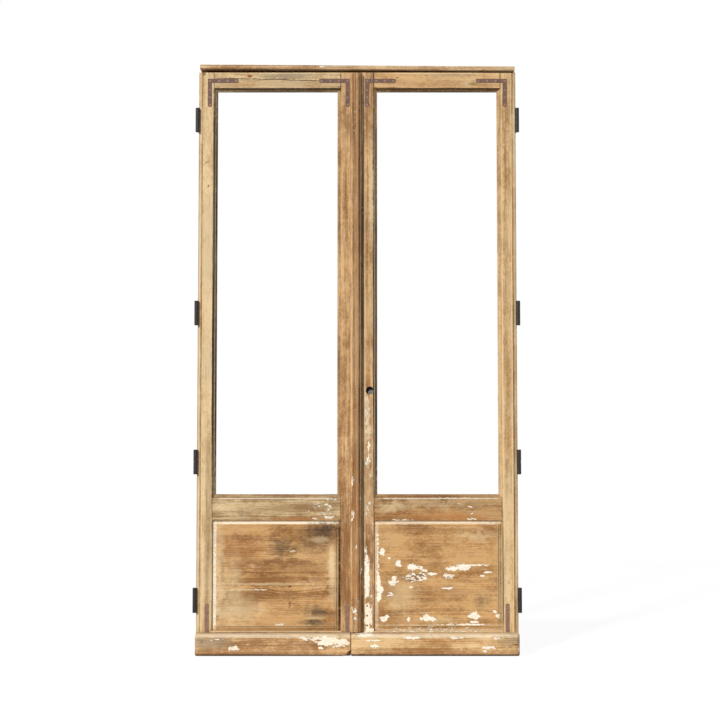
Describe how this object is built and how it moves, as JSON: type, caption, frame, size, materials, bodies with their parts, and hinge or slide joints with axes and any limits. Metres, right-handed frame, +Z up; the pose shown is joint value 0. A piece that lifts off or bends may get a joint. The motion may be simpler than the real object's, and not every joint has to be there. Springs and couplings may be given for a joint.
{
  "type": "french doors",
  "caption": "Pair of tall pine doors with open lights over fielded panels, on lift-off hinges in their frame, with drip boards, cover strip and mortise lock.",
  "frame": {"origin": "centre of the underside of the threshold", "axes": "+Z up, +X to the right as seen from outside, +Y into the house, so that the outside face looks along -Y"},
  "size_m": [1.3236, 0.158, 2.399],
  "materials": {
    "hinge_side_pine": "bare weathered pine, light tan",
    "meeting_pine": "bare weathered pine, orange brown",
    "rail_pine": "bare weathered pine",
    "panel_pine": "stripped pine with rests of cream paint",
    "drip_pine": "bare weathered pine with rests of cream paint",
    "cap_pine": "bare weathered pine",
    "frame_pine": "bare pine",
    "black_iron": "black",
    "rusted_iron": "brown rust",
    "lock_steel": "dull"
  },
  "bodies": {
    "frame": {"frame_head": "frame_pine", "frame_hinge_screws": "black_iron", "frame_jamb_left": "frame_pine", "frame_jamb_right": "frame_pine", "frame_threshold": "frame_pine", "head_drip_cap": "cap_pine", "hinge_frame_half_left_1": "black_iron", "hinge_frame_half_left_2": "black_iron", "hinge_frame_half_left_3": "black_iron", "hinge_frame_half_left_4": "black_iron", "hinge_frame_half_right_1": "black_iron", "hinge_frame_half_right_2": "black_iron", "hinge_frame_half_right_3": "black_iron", "hinge_frame_half_right_4": "black_iron", "hinge_pins": "black_iron"},
    "left_leaf": {"hinge_leaf_half_left_1": "black_iron", "hinge_leaf_half_left_2": "black_iron", "hinge_leaf_half_left_3": "black_iron", "hinge_leaf_half_left_4": "black_iron", "left_angle_iron_bottom_inner": "rusted_iron", "left_angle_iron_bottom_outer": "rusted_iron", "left_angle_iron_screws": "rusted_iron", "left_angle_iron_top_inner": "rusted_iron", "left_angle_iron_top_outer": "rusted_iron", "left_bottom_rail": "rail_pine", "left_drip_board": "drip_pine", "left_edge_strip": "hinge_side_pine", "left_hinge_screws": "black_iron", "left_hinge_stile": "hinge_side_pine", "left_meeting_stile": "meeting_pine", "left_mid_rail": "rail_pine", "left_panel": "panel_pine", "left_top_rail": "rail_pine", "strike_plate": "lock_steel", "strike_plate_screws": "lock_steel"},
    "right_leaf": {"cover_strip": "meeting_pine", "hinge_leaf_half_right_1": "black_iron", "hinge_leaf_half_right_2": "black_iron", "hinge_leaf_half_right_3": "black_iron", "hinge_leaf_half_right_4": "black_iron", "lock_case": "lock_steel", "lock_forend": "lock_steel", "lock_forend_screws": "lock_steel", "right_angle_iron_bottom_inner": "rusted_iron", "right_angle_iron_bottom_outer": "rusted_iron", "right_angle_iron_screws": "rusted_iron", "right_angle_iron_top_inner": "rusted_iron", "right_angle_iron_top_outer": "rusted_iron", "right_bottom_rail": "rail_pine", "right_drip_board": "drip_pine", "right_edge_strip": "hinge_side_pine", "right_hinge_screws": "black_iron", "right_hinge_stile": "hinge_side_pine", "right_meeting_stile": "meeting_pine", "right_mid_rail": "rail_pine", "right_panel": "panel_pine", "right_top_rail": "rail_pine"},
    "lock_bolt": {"lock_bolt": "lock_steel"}
  },
  "joints": [
    {"name": "right_leaf_swing", "type": "hinge", "parent": "frame", "child": "right_leaf", "pos_m": [0.653, -0.084, 0], "axis": [0, 0, 1], "range_deg": [0, 110]},
    {"name": "left_leaf_swing", "type": "hinge", "parent": "frame", "child": "left_leaf", "pos_m": [-0.653, -0.084, 0], "axis": [0, 0, -1], "range_deg": [0, 110]},
    {"name": "lock_bolt_throw", "type": "slide", "parent": "right_leaf", "child": "lock_bolt", "axis": [-1, 0, 0], "range_m": [0, 0.014]}
  ],
  "couplings": [
    {"joint": "left_leaf_swing", "follows": "right_leaf_swing", "ratio": 1}
  ]
}
